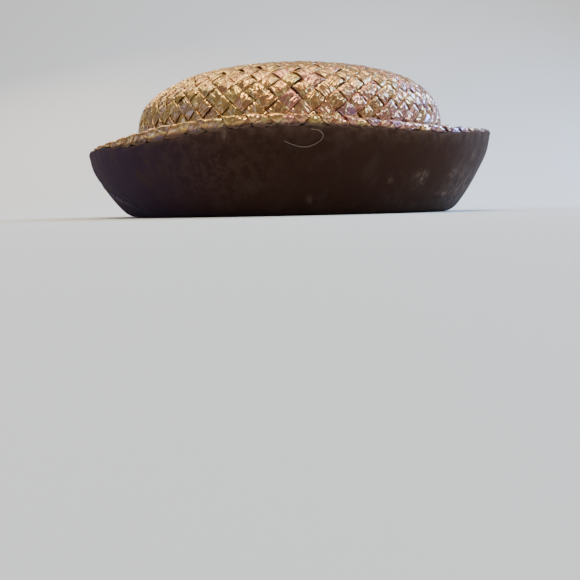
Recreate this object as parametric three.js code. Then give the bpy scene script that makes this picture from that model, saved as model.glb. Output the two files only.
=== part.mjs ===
// A small tilt hat: a plaited crown with a plaited brim turned up all round, and velvet on the brim's outside.
// Millimetres, +Z up. The hat rests on the fold of its brim at z = 0, and its front faces -Y.
import * as THREE from "three";

// Head opening, an ellipse 55 cm round: the inner face of the crown's wall.
const HEAD_HALF_WIDTH = 80;
const HEAD_HALF_LENGTH = 95;

// Walls, and the gap that is left between two pieces.
const PLAIT_WALL = 2;
const VELVET_WALL = 1.6;
const GAP = 0.3;

// Brim: its reach past the head opening, and its rim's mean height.
const REACH_SIDE = 31;
const REACH_FRONT = 24;
const RIM_HEIGHT = 40.4;

// How the rim rises and dips round the hat: waves to a turn, counted from +X, and the rise of each.
const RIM_WAVES = [
  { waves: 1, rise: 2.6 },
  { waves: 2, rise: -2.6 },
  { waves: 3, rise: 1.8 },
  { waves: 4, rise: 1 },
];

// Depth of the plaited border that shows above the velvet.
const BORDER = 5;

// Facets round the hat, and steps along the velvet and up the crown.
const FACETS = 72;
const VELVET_STEPS = 8;
const CROWN_STEPS = 13;

// The crown's outer sections from its base to its apex. Shift moves a section to +X.
const CROWN_BASE = VELVET_WALL + GAP + PLAIT_WALL + GAP;
const CROWN_APEX = 80;
const CROWN_SHIFT = 2;
const BASE_HALF_WIDTH = HEAD_HALF_WIDTH + PLAIT_WALL;
const BASE_HALF_LENGTH = HEAD_HALF_LENGTH + PLAIT_WALL;
const CROWN_SECTIONS = [
  { height: CROWN_BASE, halfWidth: BASE_HALF_WIDTH, halfLength: BASE_HALF_LENGTH, shift: 0 },
  { height: 22, halfWidth: 84, halfLength: 99, shift: 0 },
  { height: 40, halfWidth: 84.5, halfLength: 99.5, shift: 0 },
  { height: 52, halfWidth: 83.5, halfLength: 98, shift: 0.5 },
  { height: 60.5, halfWidth: 79.5, halfLength: 93.5, shift: 1 },
  { height: 67.5, halfWidth: 71.5, halfLength: 84.5, shift: CROWN_SHIFT },
  { height: 73, halfWidth: 60, halfLength: 71, shift: CROWN_SHIFT },
  { height: 77, halfWidth: 43, halfLength: 51, shift: CROWN_SHIFT },
  { height: 79.4, halfWidth: 22, halfLength: 26, shift: CROWN_SHIFT },
  { height: CROWN_APEX, halfWidth: 0, halfLength: 0, shift: CROWN_SHIFT },
];

// The brim's outer profile from its fold to its rim, in shares of the rim's height and reach.
const BRIM_PROFILE = [
  { rise: 0, reach: 0.18 },
  { rise: 0.03, reach: 0.32 },
  { rise: 0.11, reach: 0.44 },
  { rise: 0.3, reach: 0.62 },
  { rise: 0.52, reach: 0.79 },
  { rise: 0.74, reach: 0.93 },
  { rise: 1, reach: 1 },
];

// The border's rolled section: how far up from the velvet's edge, and how deep behind the velvet's face.
const BRIM_INNER_DEPTH = VELVET_WALL + GAP + PLAIT_WALL;
const BORDER_SECTION = [
  { up: GAP, depth: 0.2 },
  { up: 2.4, depth: -0.4 },
  { up: 4.2, depth: 0.2 },
  { up: BORDER, depth: 1.8 },
  { up: 4.3, depth: 3.5 },
  { up: 2.4, depth: BRIM_INNER_DEPTH + 0.2 },
];

const PLAIT_FINISH = { color: 0xb08a55, roughness: 0.38, metalness: 0.75 };
const VELVET_FINISH = { color: 0x2e1f19, roughness: 0.95, metalness: 0 };

/** Closes rings of points, up the outside and down the inside, into one solid. A pole is a ring of one point. */
function solidFromRings(rings) {
  const starts = [];
  const positions = [];
  for (const points of rings) {
    starts.push(positions.length / 3);
    points.forEach((point) => positions.push(...point.toArray()));
  }
  const corner = (row, k) => starts[row] + (k % rings[row].length);
  const index = [];
  rings.forEach((points, row) => {
    const next = (row + 1) % rings.length;
    for (let k = 0; k < FACETS; k++) {
      const a = corner(row, k);
      const b = corner(row, k + 1);
      const c = corner(next, k + 1);
      const d = corner(next, k);
      if (points.length > 1) index.push(a, b, c);
      if (rings[next].length > 1) index.push(a, c, d);
    }
  });
  const geometry = new THREE.BufferGeometry();
  geometry.setAttribute("position", new THREE.Float32BufferAttribute(positions, 3));
  geometry.setIndex(index);
  geometry.computeVertexNormals();
  return geometry;
}

/** One ring: the point at each facet's angle. */
function ring(pointAt) {
  return Array.from({ length: FACETS }, (_, k) => pointAt((2 * Math.PI * k) / FACETS));
}

/** A smooth curve through one column of the crown's table against its height. */
function crownCurve(column) {
  return new THREE.SplineCurve(CROWN_SECTIONS.map((row) => new THREE.Vector2(row[column], row.height)));
}

const crownWidths = crownCurve("halfWidth");
const crownLengths = crownCurve("halfLength");
const crownShifts = crownCurve("shift");

/** A point on the crown's outer face: share runs from 0 at the base to 1 at the apex. */
function crownPoint(share, angle) {
  const width = crownWidths.getPoint(share);
  const length = crownLengths.getPoint(share);
  const shift = crownShifts.getPoint(share);
  return new THREE.Vector3(width.x * Math.cos(angle) + shift.x, length.x * Math.sin(angle), width.y);
}

/** The same point moved in by the wall, square to the outer face. */
function crownInnerPoint(share, angle) {
  const step = 1e-3;
  const along = crownPoint(Math.min(share + step, 1), angle).sub(crownPoint(Math.max(share - step, 0), angle));
  const across = crownPoint(share, angle + step).sub(crownPoint(share, angle - step));
  return crownPoint(share, angle).addScaledVector(across.cross(along).normalize(), -PLAIT_WALL);
}

/** The crown: a dome of even wall, open below. */
function crownGeometry() {
  const shares = Array.from({ length: CROWN_STEPS }, (_, i) => i / CROWN_STEPS);
  const outer = shares.map((share) => ring((angle) => crownPoint(share, angle)));
  const inner = shares.map((share) => ring((angle) => crownInnerPoint(share, angle)));
  const apex = [new THREE.Vector3(CROWN_SHIFT, 0, CROWN_APEX)];
  const innerApex = [new THREE.Vector3(CROWN_SHIFT, 0, CROWN_APEX - PLAIT_WALL)];
  return solidFromRings([...outer, apex, innerApex, ...inner.reverse()]);
}

/** The brim's outer profile at an angle, as a curve of reach past the head opening against height. */
function brimProfile(angle) {
  const height = RIM_WAVES.reduce((sum, row) => sum + row.rise * Math.cos(row.waves * angle), RIM_HEIGHT);
  const reach = REACH_SIDE * Math.cos(angle) ** 2 + REACH_FRONT * Math.sin(angle) ** 2;
  return new THREE.SplineCurve(
    BRIM_PROFILE.map((row) => new THREE.Vector2(row.reach * reach, row.rise * height)),
  );
}

/** A point of the brim: reach is measured square to the head opening's ellipse. */
function brimPoint(angle, reach, height) {
  const across = Math.cos(angle);
  const along = Math.sin(angle);
  const outward = new THREE.Vector2(HEAD_HALF_LENGTH * across, HEAD_HALF_WIDTH * along).setLength(reach);
  return new THREE.Vector3(
    HEAD_HALF_WIDTH * across + outward.x,
    HEAD_HALF_LENGTH * along + outward.y,
    height,
  );
}

/** A ring of the brim's fold, at the edge of the head opening. */
function foldRing(height) {
  return ring((angle) => brimPoint(angle, GAP, height));
}

/** A ring behind the velvet's face by a depth: share runs along the velvet, and up past its edge, in mm. */
function layerRing(share, depth, up = 0) {
  return ring((angle) => {
    const profile = brimProfile(angle);
    const length = profile.getLength();
    const along = Math.min((share * (length - BORDER) + up) / length, 1);
    const point = profile.getPointAt(along);
    const tangent = profile.getTangentAt(along);
    return brimPoint(angle, point.x - depth * tangent.y, point.y + depth * tangent.x);
  });
}

/** Rings along the velvet's length at one depth, from the fold up. */
function layerRings(depth) {
  return Array.from({ length: VELVET_STEPS + 1 }, (_, i) => layerRing(i / VELVET_STEPS, depth));
}

/** The velvet: a layer whose fold lies flat on the surface below. */
function facingGeometry() {
  const outer = [foldRing(0), ...layerRings(0)];
  const inner = [foldRing(VELVET_WALL), ...layerRings(VELVET_WALL)];
  return solidFromRings([...outer, ...inner.reverse()]);
}

/** The plaited brim behind the velvet, ending in the border that rolls out over the velvet's edge. */
function brimGeometry() {
  const depth = VELVET_WALL + GAP;
  const outer = [foldRing(depth), ...layerRings(depth), layerRing(1, depth, GAP)];
  const border = BORDER_SECTION.map((row) => layerRing(1, row.depth, row.up));
  const inner = [foldRing(BRIM_INNER_DEPTH), ...layerRings(BRIM_INNER_DEPTH)];
  return solidFromRings([...outer, ...border, ...inner.reverse()]);
}

/** A named piece of the hat. */
function piece(name, geometry, finish) {
  const mesh = new THREE.Mesh(geometry, new THREE.MeshStandardMaterial(finish));
  mesh.name = name;
  return mesh;
}

const hat = new THREE.Group();
hat.add(piece("crown", crownGeometry(), PLAIT_FINISH));
hat.add(piece("brim", brimGeometry(), PLAIT_FINISH));
hat.add(piece("brim_facing", facingGeometry(), VELVET_FINISH));

export default hat;
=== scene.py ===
"""The looks of a small tilt hat: a plaited crown and upturned brim, with brown velvet on the brim's outside.

Lengths are in millimetres unless a name says otherwise, and meshes are written in metres.
"""

import logging
import math
from collections.abc import Iterable, Mapping, Sequence
from dataclasses import dataclass, field
from enum import Enum

import bpy
import numpy as np
from mathutils import Matrix, Vector

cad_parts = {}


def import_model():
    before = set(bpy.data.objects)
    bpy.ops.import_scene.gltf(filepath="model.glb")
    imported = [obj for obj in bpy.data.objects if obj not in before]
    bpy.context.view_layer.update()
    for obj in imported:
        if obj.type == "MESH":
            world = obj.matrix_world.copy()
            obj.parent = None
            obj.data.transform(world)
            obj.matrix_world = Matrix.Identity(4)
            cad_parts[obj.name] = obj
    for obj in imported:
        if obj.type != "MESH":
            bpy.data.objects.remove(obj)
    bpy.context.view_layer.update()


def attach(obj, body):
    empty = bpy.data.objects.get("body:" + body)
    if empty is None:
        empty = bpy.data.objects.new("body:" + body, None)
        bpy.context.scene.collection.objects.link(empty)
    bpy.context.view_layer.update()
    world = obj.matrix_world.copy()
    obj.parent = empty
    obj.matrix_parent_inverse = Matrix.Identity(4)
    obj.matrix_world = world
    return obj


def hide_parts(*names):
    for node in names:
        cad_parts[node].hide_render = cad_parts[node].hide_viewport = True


Array = np.ndarray
Socket = bpy.types.NodeSocket
Rgb = tuple[float, float, float]

LOG = logging.getLogger("tilt_hat")
MM = 0.001
TURN = 2 * math.pi
ROOT_2 = math.sqrt(2.0)
BODY = "root"
UV_NAME = "run"
UV_UNIT = 10.0
UV_FAMILY_ROWS = 130
UV_ROW_SPACING = 1.7
SMOOTH_STEP = {"interpolation_type": "SMOOTHSTEP"}


class Slot(Enum):
    """The record's material slots."""

    PLAIT = "plait"
    VELVET = "velvet"


class Family(Enum):
    """The two runs of strips that pass over and under each other."""

    RISING = 0
    FALLING = 1

    @property
    def sign(self) -> float:
        """1 for the rising run, and -1 for the falling one."""
        return 1.0 - 2.0 * self.value


class Value:
    """Wraps a number socket, so that shader maths is written as a Python expression."""

    def __init__(self, graph: "ShaderGraph", socket: Socket) -> None:
        """Keeps the socket, and the graph that new Math nodes go into."""
        self.graph = graph
        self.socket = socket

    def _math(self, operation: str, first: object, second: object = 0.0) -> "Value":
        """One Math node's result, from Values or numbers."""
        node = self.graph.node("ShaderNodeMath", {"operation": operation}, {0: first, 1: second})
        return self.graph.value(node)

    def __add__(self, other: object) -> "Value":
        """The sum."""
        return self._math("ADD", self, other)

    def __radd__(self, other: object) -> "Value":
        """The sum, with the number first."""
        return self._math("ADD", other, self)

    def __sub__(self, other: object) -> "Value":
        """The difference."""
        return self._math("SUBTRACT", self, other)

    def __rsub__(self, other: object) -> "Value":
        """The difference, with the number first."""
        return self._math("SUBTRACT", other, self)

    def __mul__(self, other: object) -> "Value":
        """The product."""
        return self._math("MULTIPLY", self, other)

    def __rmul__(self, other: object) -> "Value":
        """The product, with the number first."""
        return self._math("MULTIPLY", other, self)

    def __abs__(self) -> "Value":
        """The size without its sign."""
        return self._math("ABSOLUTE", self)

    def between(self, start: float, end: float) -> "Value":
        """A smooth step from 0 at the start to 1 at the end, which may be the lower."""
        inputs = {"Value": self, "From Min": start, "From Max": end}
        return self.graph.value(self.graph.node("ShaderNodeMapRange", SMOOTH_STEP, inputs))


@dataclass(frozen=True)
class Grain:
    """A Noise texture: the size of its grains, its octaves, and how strong the finer octaves are."""

    size: float
    octaves: float
    rough: float = 0.5


@dataclass(frozen=True)
class Creases:
    """Sharp creases: their width and length, their turn from the second axis in radians, and octaves."""

    wide: float
    long: float
    turn: float
    octaves: float
    gain: float = 2.2


@dataclass(frozen=True)
class Layer:
    """A colour laid over another: its greatest share, and where its mask's smooth step starts and ends."""

    colour: Rgb
    share: float
    start: float
    end: float

    def step(self, mask: Value) -> Value:
        """The mask as a smooth step."""
        return mask.between(self.start, self.end)

    def cover(self, mask: Value) -> Value:
        """The colour's share."""
        return self.step(mask) * self.share


class ShaderGraph:
    """One material's node tree, with one way to add a node."""

    def __init__(self, name: str) -> None:
        """Starts an empty material.

        Args:
            name: the material's name.
        """
        self.material = bpy.data.materials.new(name)
        self.material.use_nodes = True
        self.tree = self.material.node_tree
        self.tree.nodes.clear()

    def node(
        self,
        kind: str,
        settings: Mapping[str, object] | None = None,
        inputs: Mapping[str | int, object] | None = None,
    ) -> bpy.types.Node:
        """Adds a node, sets its settings, then its sockets.

        Args:
            kind: the node's type.
            settings: its properties; "stops" holds a ramp's (place, colour) pairs.
            inputs: for each socket a Value, a socket to link, a number or an opaque colour.

        Returns:
            The node.
        """
        made = self.tree.nodes.new(kind)
        for key, value in (settings or {}).items():
            if key == "stops":
                self._set_stops(made.color_ramp, value)
            else:
                setattr(made, key, value)
        for key, value in (inputs or {}).items():
            source = value.socket if isinstance(value, Value) else value
            target = made.inputs[key]
            if isinstance(source, Socket):
                self.tree.links.new(source, target)
            elif target.type == "RGBA":
                target.default_value = (*source, 1.0)
            else:
                target.default_value = source
        return made

    @staticmethod
    def _set_stops(ramp: bpy.types.ColorRamp, stops: Sequence[tuple[float, Rgb]]) -> None:
        """Gives a ramp its colours.

        Args:
            ramp: the ramp, which starts with two stops.
            stops: the place and the colour of each stop, in order.
        """
        while len(ramp.elements) < len(stops):
            ramp.elements.new(1.0)
        for element, (place, colour) in zip(ramp.elements, stops):
            element.position = place
            element.color = (*colour, 1.0)

    def value(self, node: bpy.types.Node, output: str | int = 0) -> Value:
        """One of a node's number outputs, for maths."""
        return Value(self, node.outputs[output])

    def attribute(self, name: str) -> Value:
        """One of the mesh's named values."""
        return self.value(self.node("ShaderNodeAttribute", {"attribute_name": name}), "Fac")

    def place(self) -> Socket:
        """The piece's own Object coordinates, in millimetres."""
        return self.stretched(self.node("ShaderNodeTexCoord").outputs["Object"], (1.0 / MM,) * 3)

    def across(self) -> Value:
        """How far the point lies toward +X, in millimetres."""
        return self.value(self.node("ShaderNodeSeparateXYZ", {}, {0: self.place()}))

    def stretched(self, vector: Socket, scale: Rgb) -> Socket:
        """The coordinates times a scale along each axis."""
        return self.node("ShaderNodeVectorMath", {"operation": "MULTIPLY"}, {0: vector, 1: scale}).outputs[0]

    def noise(self, vector: Socket, grain: Grain) -> Value:
        """A Noise texture, about 0.5."""
        inputs = {"Scale": 1.0 / grain.size, "Detail": grain.octaves, "Roughness": grain.rough}
        return self.value(self.node("ShaderNodeTexNoise", {}, {"Vector": vector, **inputs}))

    def creases(self, vector: Socket, shape: Creases) -> Value:
        """Sharp creases: a stretched noise folded at its middle, so that the fold lines are valleys.

        Args:
            vector: the coordinates that it reads.
            shape: the creases' sizes.

        Returns:
            The height, from 0 in a valley to about 1.
        """
        turn = {"Vector": vector, "Angle": shape.turn}
        turned = self.node("ShaderNodeVectorRotate", {"rotation_type": "Z_AXIS"}, turn).outputs[0]
        stretched = self.stretched(turned, (1.0 / shape.wide, 1.0 / shape.long, 1.0))
        return abs(self.noise(stretched, Grain(1.0, shape.octaves)) * 2.0 - 1.0) * shape.gain

    def facets(self, vector: Socket, wide: float, feature: str) -> Value:
        """Crumpled facets: a Voronoi texture's distances.

        Args:
            vector: the coordinates that it reads.
            wide: the facets' width.
            feature: which distance.

        Returns:
            The distance, in facets' widths.
        """
        settings = {"feature": feature, "voronoi_dimensions": "2D"}
        node = self.node("ShaderNodeTexVoronoi", settings, {"Vector": vector, "Scale": 1.0 / wide})
        return self.value(node, "Distance")

    def ramp(self, place: Value, stops: Sequence[tuple[float, Rgb]]) -> Socket:
        """A colour from a ramp, whose places run from 0 to 1."""
        return self.node("ShaderNodeValToRGB", {"stops": stops}, {0: place}).outputs[0]

    def mixed(self, share: Value, first: Socket | Rgb, second: Socket | Rgb) -> Socket:
        """A mix of two colours, by the share of the second."""
        return self.node("ShaderNodeMix", {"data_type": "RGBA"}, {0: share, 6: first, 7: second}).outputs[2]

    def laid(self, below: Socket | Rgb, layer: Layer, mask: Value) -> Socket:
        """A colour with a layer over it."""
        return self.mixed(layer.cover(mask), below, layer.colour)

    def bump(self, height: Value, depth_m: float, strength: float = 1.0) -> Socket:
        """A Bump node's normal, for a relief from 0 to 1 and its depth in metres."""
        inputs = {"Height": height, "Distance": depth_m, "Strength": strength}
        return self.node("ShaderNodeBump", {}, inputs).outputs[0]

    def surface(self, inputs: Mapping[str, object]) -> bpy.types.Material:
        """Ends the graph in a Principled shader.

        Args:
            inputs: the shader's sockets.

        Returns:
            The material.
        """
        shader = self.node("ShaderNodeBsdfPrincipled", {}, inputs)
        self.node("ShaderNodeOutputMaterial", {}, {"Surface": shader.outputs[0]})
        return self.material


@dataclass(frozen=True)
class PlaitFinish:
    """Glossy crinkled straw strips: bronze, gold and copper, creased along their length."""

    name: str = "plaited_straw"
    tints: tuple[tuple[float, Rgb], ...] = (
        (0.0, (0.42, 0.26, 0.175)),
        (0.12, (0.52, 0.31, 0.14)),
        (0.24, (0.50, 0.26, 0.125)),
        (0.34, (0.58, 0.37, 0.11)),
        (0.45, (0.52, 0.238, 0.095)),
        (0.55, (0.60, 0.31, 0.13)),
        (0.66, (0.60, 0.235, 0.16)),
        (0.76, (0.63, 0.268, 0.20)),
        (0.87, (0.51, 0.235, 0.34)),
        (1.0, (0.40, 0.285, 0.59)),
    )
    pleats: Creases = Creases(2.2, 15.0, 0.0, 1.0)
    crumples: Creases = Creases(3.9, 9.0, 0.6, 0.0)
    fine: Grain = Grain(0.9, 2.0, 0.6)
    cloud: Grain = Grain(1.0, 1.5)
    cloud_stretch: Rgb = (0.09, 0.05, 1.0)
    facet_width: float = 2.1
    facet_stretch: Rgb = (1.0, 0.7, 1.0)
    pleat_tint: float = 0.07
    deep: Layer = Layer((0.135, 0.075, 0.048), 0.28, 0.6, 0.3)
    # Painted shade: a darker colour laid into the pleats' valleys, where shade falls in the creases.
    creased: Layer = Layer((0.11, 0.06, 0.044), 0.22, 0.3, 0.0)
    # Painted highlight: pale gold laid along the crumples' fold lines, where light catches the ridges.
    marks_and_painted_light: Layer = Layer((0.84, 0.67, 0.26), 0.6, 0.22, 0.0)
    # Painted highlight: pale gold laid along the edges of the crumpled facets, where light catches the folds.
    folded: Layer = Layer((0.84, 0.67, 0.26), 0.18, 0.06, 0.0)
    # Painted shade: strip edges are darkened in the colour, where shadow falls into the gaps between strips.
    edge: Layer = Layer((0.058, 0.034, 0.032), 0.42, 0.84, 1.0)
    shade: Layer = Layer((0.058, 0.034, 0.032), 0.92, 0.7, 1.0)
    pleat_relief: float = 0.34
    crumple_relief: float = 0.45
    facet_relief: float = 0.55
    fine_relief: float = 0.04
    relief_m: float = 0.0006
    metallic: float = 0.77
    edge_dull: float = 0.3
    roughness: float = 0.11
    fine_roughness: float = 0.22
    specular: float = 0.5
    lacquer_ior: float = 1.5
    coat: float = 0.75
    coat_from: float = 10.0
    coat_to: float = 95.0
    coat_roughness: float = 0.07
    glint_tint: Rgb = (0.78, 0.62, 0.40)

    def build(self) -> bpy.types.Material:
        """Makes the material from the strip's own UV and its tint.

        Returns:
            The material.
        """
        graph = ShaderGraph(self.name)
        uv = graph.node("ShaderNodeUVMap", {"uv_map": UV_NAME}).outputs[0]
        run = graph.stretched(uv, (UV_UNIT, UV_UNIT, 1.0))
        pleat = graph.creases(run, self.pleats)
        crumple = graph.creases(run, self.crumples)
        fine = graph.noise(run, self.fine)
        leaning = graph.stretched(run, self.facet_stretch)
        facet = graph.facets(leaning, self.facet_width, "F1")
        fold = graph.facets(leaning, self.facet_width, "DISTANCE_TO_EDGE")
        cloud = graph.noise(graph.stretched(run, self.cloud_stretch), self.cloud)
        edge = graph.attribute("edge")
        shade = graph.attribute("shade")
        colour = graph.ramp(graph.attribute("tint") + (pleat - 0.5) * self.pleat_tint, self.tints)
        layers = (
            (self.deep, cloud),
            (self.creased, pleat),
            (self.marks_and_painted_light, crumple),
            (self.folded, fold),
            (self.edge, edge),
            (self.shade, shade),
        )
        for layer, mask in layers:
            colour = graph.laid(colour, layer, mask)
        lacquer = graph.across().between(self.coat_from, self.coat_to)
        relief = pleat * self.pleat_relief - crumple * self.crumple_relief
        relief = relief + facet * self.facet_relief + fine * self.fine_relief
        return graph.surface(
            {
                "Base Color": colour,
                "Metallic": self.metallic - self.edge.step(edge) * self.edge_dull,
                "Roughness": self.roughness + fine * self.fine_roughness,
                "IOR": self.lacquer_ior,
                "Specular IOR Level": self.specular,
                "Specular Tint": self.glint_tint,
                "Coat Weight": lacquer * (1.0 - self.shade.step(shade)) * self.coat,
                "Coat Roughness": self.coat_roughness,
                "Coat IOR": self.lacquer_ior,
                "Normal": graph.bump(relief, self.relief_m),
            }
        )


@dataclass(frozen=True)
class VelvetFinish:
    """Dark brown velvet whose pile is crushed in soft blotches and brushed the wrong way in a few spots; its
    colour also holds painted light: a bluish tint toward -X and a lighter band below its upper edge.
    """

    name: str = "brown_velvet"
    deep: Rgb = (0.0300, 0.0108, 0.0058)
    # Painted light: the velvet's colour turns bluish toward -X, standing in for bluish light on that side;
    # the marks there turn bluish too.
    painted_cool_light: Rgb = (0.0225, 0.0110, 0.0310)
    painted_cool_from: float = -20.0
    painted_cool_to: float = -95.0
    blotch: Grain = Grain(15.0, 3.0, 0.62)
    streak: Grain = Grain(3.2, 3.0, 0.6)
    streak_stretch: Rgb = (1.0, 1.0, 0.4)
    pile: Grain = Grain(0.45, 2.0, 0.6)
    patch: Grain = Grain(4.2, 3.0, 0.65)
    speck: Grain = Grain(2.4, 2.0, 0.6)
    blotch_share: float = 0.72
    streak_share: float = 0.28
    brushed: Layer = Layer((0.042, 0.021, 0.015), 0.75, 0.48, 0.68)
    pile_share: float = 0.2
    pile_floor: float = 0.08
    # Painted highlight: a lighter colour laid in a band below the velvet's upper edge, where its rolled edge
    # catches the light.
    upper_light: Layer = Layer((0.085, 0.047, 0.030), 0.6, 0.35, 0.65)
    upper_light_least: float = 0.25
    upper_light_cool_cut: float = 0.75
    marked: Layer = Layer((0.145, 0.095, 0.068), 0.9, 0.42, 0.56)
    marked_least: float = 0.2
    marked_painted_cool: Rgb = (0.092, 0.073, 0.104)
    rubbed: Layer = Layer((0.008, 0.005, 0.004), 0.75, 0.5, 0.66)
    rubbed_from: float = 0.1
    rubbed_to: float = 0.5
    pile_relief: float = 0.45
    blotch_relief: float = 0.8
    streak_relief: float = 0.35
    mark_relief: float = 1.6
    relief_m: float = 0.001
    relief_strength: float = 0.6
    roughness: float = 0.86
    pile_roughness: float = 0.12
    specular: float = 0.12
    sheen: float = 0.13
    sheen_roughness: float = 0.5
    sheen_tint: Rgb = (0.54, 0.42, 0.36)

    def build(self) -> bpy.types.Material:
        """Makes the material from Object coordinates and the velvet's marks.

        Returns:
            The material.
        """
        graph = ShaderGraph(self.name)
        place = graph.place()
        blotch = graph.noise(place, self.blotch)
        streak = graph.noise(graph.stretched(place, self.streak_stretch), self.streak)
        pile = graph.noise(place, self.pile)
        patch = graph.noise(place, self.patch)
        speck = graph.noise(place, self.speck)
        marks = graph.attribute("crush_marks_and_crease_light")
        # Painted light: how far the colour turns bluish, growing toward -X.
        painted_cool_light = graph.across().between(self.painted_cool_from, self.painted_cool_to)
        colour = graph.mixed(painted_cool_light, self.deep, self.painted_cool_light)
        crushed = self.brushed.cover(blotch * self.blotch_share + streak * self.streak_share)
        lying = crushed + pile * self.pile_share - self.pile_floor
        colour = graph.mixed(lying, colour, self.brushed.colour)
        # Painted highlight: the lighter band below the upper edge, cut back where the bluish tint is painted.
        upper_light = self.upper_light_least + self.upper_light.cover(patch)
        upper_light = graph.attribute("painted_upper_light") * (1.0 - painted_cool_light * self.upper_light_cool_cut) * upper_light
        colour = graph.mixed(upper_light, colour, self.upper_light.colour)
        marks_and_painted_light = graph.mixed(painted_cool_light, self.marked.colour, self.marked_painted_cool)
        # The marks' lighter colour also paints the highlight along the crease's lip.
        colour = graph.mixed(marks * (self.marked_least + self.marked.cover(patch)), colour, marks_and_painted_light)
        rubbed = marks.between(self.rubbed_from, self.rubbed_to) * self.rubbed.cover(speck)
        colour = graph.mixed(rubbed, colour, self.rubbed.colour)
        relief = pile * self.pile_relief + blotch * self.blotch_relief
        relief = relief + streak * self.streak_relief + marks * patch * self.mark_relief
        return graph.surface(
            {
                "Base Color": colour,
                "Roughness": self.roughness + pile * self.pile_roughness,
                "Specular IOR Level": self.specular,
                "Sheen Weight": self.sheen,
                "Sheen Roughness": self.sheen_roughness,
                "Sheen Tint": self.sheen_tint,
                "Normal": graph.bump(relief, self.relief_m, self.relief_strength),
            }
        )


@dataclass(frozen=True)
class ThreadFinish:
    """Pale sewing thread, twisted from fine fibres."""

    name: str = "pale_thread"
    dark: Rgb = (0.17, 0.135, 0.10)
    light: Layer = Layer((0.28, 0.23, 0.17), 1.0, 0.35, 0.65)
    fibre: Grain = Grain(0.384615, 2.0)
    roughness: float = 0.7
    relief_m: float = 0.0001
    relief_strength: float = 0.5

    def build(self) -> bpy.types.Material:
        """Makes the material from Object coordinates.

        Returns:
            The material.
        """
        graph = ShaderGraph(self.name)
        fibre = graph.noise(graph.place(), self.fibre)
        colour = graph.laid(self.dark, self.light, fibre)
        normal = graph.bump(fibre, self.relief_m, self.relief_strength)
        return graph.surface({"Base Color": colour, "Roughness": self.roughness, "Normal": normal})


@dataclass(frozen=True)
class FloorFinish:
    """Plain pale studio floor."""

    name: str = "pale_floor"
    dark: Rgb = (0.58, 0.57, 0.55)
    light: Rgb = (0.62, 0.61, 0.59)
    cloud: Grain = Grain(454.545, 3.0)
    roughness: float = 0.85

    def build(self) -> bpy.types.Material:
        """Makes the material from Object coordinates.

        Returns:
            The material.
        """
        graph = ShaderGraph(self.name)
        cloud = graph.noise(graph.place(), self.cloud)
        colour = graph.mixed(cloud, self.dark, self.light)
        return graph.surface({"Base Color": colour, "Roughness": self.roughness})


@dataclass
class Surface:
    """A mesh in the making: points in millimetres, faces, and a UV and named values for each point."""

    points: Array
    faces: list[Array]
    uv: Array
    values: dict[str, Array] = field(default_factory=dict)

    @staticmethod
    def joined(parts: Iterable["Surface"]) -> "Surface":
        """Several surfaces as one.

        Args:
            parts: surfaces with the same named values.

        Returns:
            One surface, with the faces counted on.
        """
        listed = list(parts)
        starts = np.cumsum([0] + [len(part.points) for part in listed[:-1]])
        faces = [face + start for part, start in zip(listed, starts) for face in part.faces]
        values = {key: np.concatenate([part.values[key] for part in listed]) for key in listed[0].values}
        points = np.concatenate([part.points for part in listed])
        return Surface(points, faces, np.concatenate([part.uv for part in listed]), values)

    def to_object(self, name: str, material: bpy.types.Material) -> bpy.types.Object:
        """Writes the mesh, smooth, at the origin.

        Args:
            name: the piece's name.
            material: its finish.

        Returns:
            The object, linked to the scene.
        """
        mesh = bpy.data.meshes.new(name)
        polygons = [face for block in self.faces for face in block.tolist()]
        mesh.from_pydata((self.points * MM).tolist(), [], polygons)
        corners = np.empty(len(mesh.loops), dtype=np.int32)
        mesh.loops.foreach_get("vertex_index", corners)
        layer = mesh.uv_layers.new(name=UV_NAME)
        layer.data.foreach_set("uv", (self.uv / UV_UNIT)[corners].astype(np.float32).ravel())
        for key, value in self.values.items():
            attribute = mesh.attributes.new(key, "FLOAT", "POINT")
            attribute.data.foreach_set("value", value.astype(np.float32))
        mesh.polygons.foreach_set("use_smooth", np.ones(len(mesh.polygons), dtype=bool))
        mesh.materials.append(material)
        mesh.update()
        made = bpy.data.objects.new(name, mesh)
        bpy.context.scene.collection.objects.link(made)
        return made


def rings_joined(index: Array) -> Array:
    """Quads from each ring of points to the next.

    Args:
        index: the points' numbers, one row for each ring.

    Returns:
        The quads, ring by ring.
    """
    here = index[:-1]
    there = index[1:]
    corners = [here, np.roll(here, -1, axis=1), np.roll(there, -1, axis=1), there]
    return np.stack(corners, axis=-1).reshape(-1, 4)


def spline(rows: Array, share: Array) -> Array:
    """A smooth curve through rows: cubics whose end slopes are half the step between a row's neighbours.

    Args:
        rows: one row for each point of the curve.
        share: where on the curve, from 0 at the first row to 1 at the last.

    Returns:
        The curve's row at each share.
    """
    count = len(rows) - 1
    place = np.clip(share, 0.0, 1.0) * count
    index = np.minimum(place.astype(int), count - 1)
    t = (place - index)[..., None]
    padded = np.concatenate([rows[:1], rows, rows[-1:]])
    before, start, end, after = (padded[index + k] for k in range(4))
    leave = (end - before) / 2
    arrive = (after - start) / 2
    cubic = 2 * start - 2 * end + leave + arrive
    square = -3 * start + 3 * end - 2 * leave - arrive
    return cubic * t**3 + square * t**2 + leave * t + start


def unit(vectors: Array) -> Array:
    """The vectors at length 1."""
    return vectors / np.maximum(np.linalg.norm(vectors, axis=-1, keepdims=True), 1e-9)


def eased(x: Array) -> Array:
    """A smooth step from 0 at 0 to 1 at 1."""
    t = np.clip(x, 0.0, 1.0)
    return t * t * (3 - 2 * t)


def held(x: Array, steepness: float = 3.0) -> Array:
    """The nearest whole number, with a quick smooth step halfway between two."""
    whole = np.floor(x)
    return whole + eased((x - whole - 0.5) * steepness + 0.5)


def folded(x: Array) -> Array:
    """A triangle wave from -1 to 1, once for each unit of x."""
    return np.abs(np.mod(x, 1.0) * 2 - 1) * 2 - 1


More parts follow.
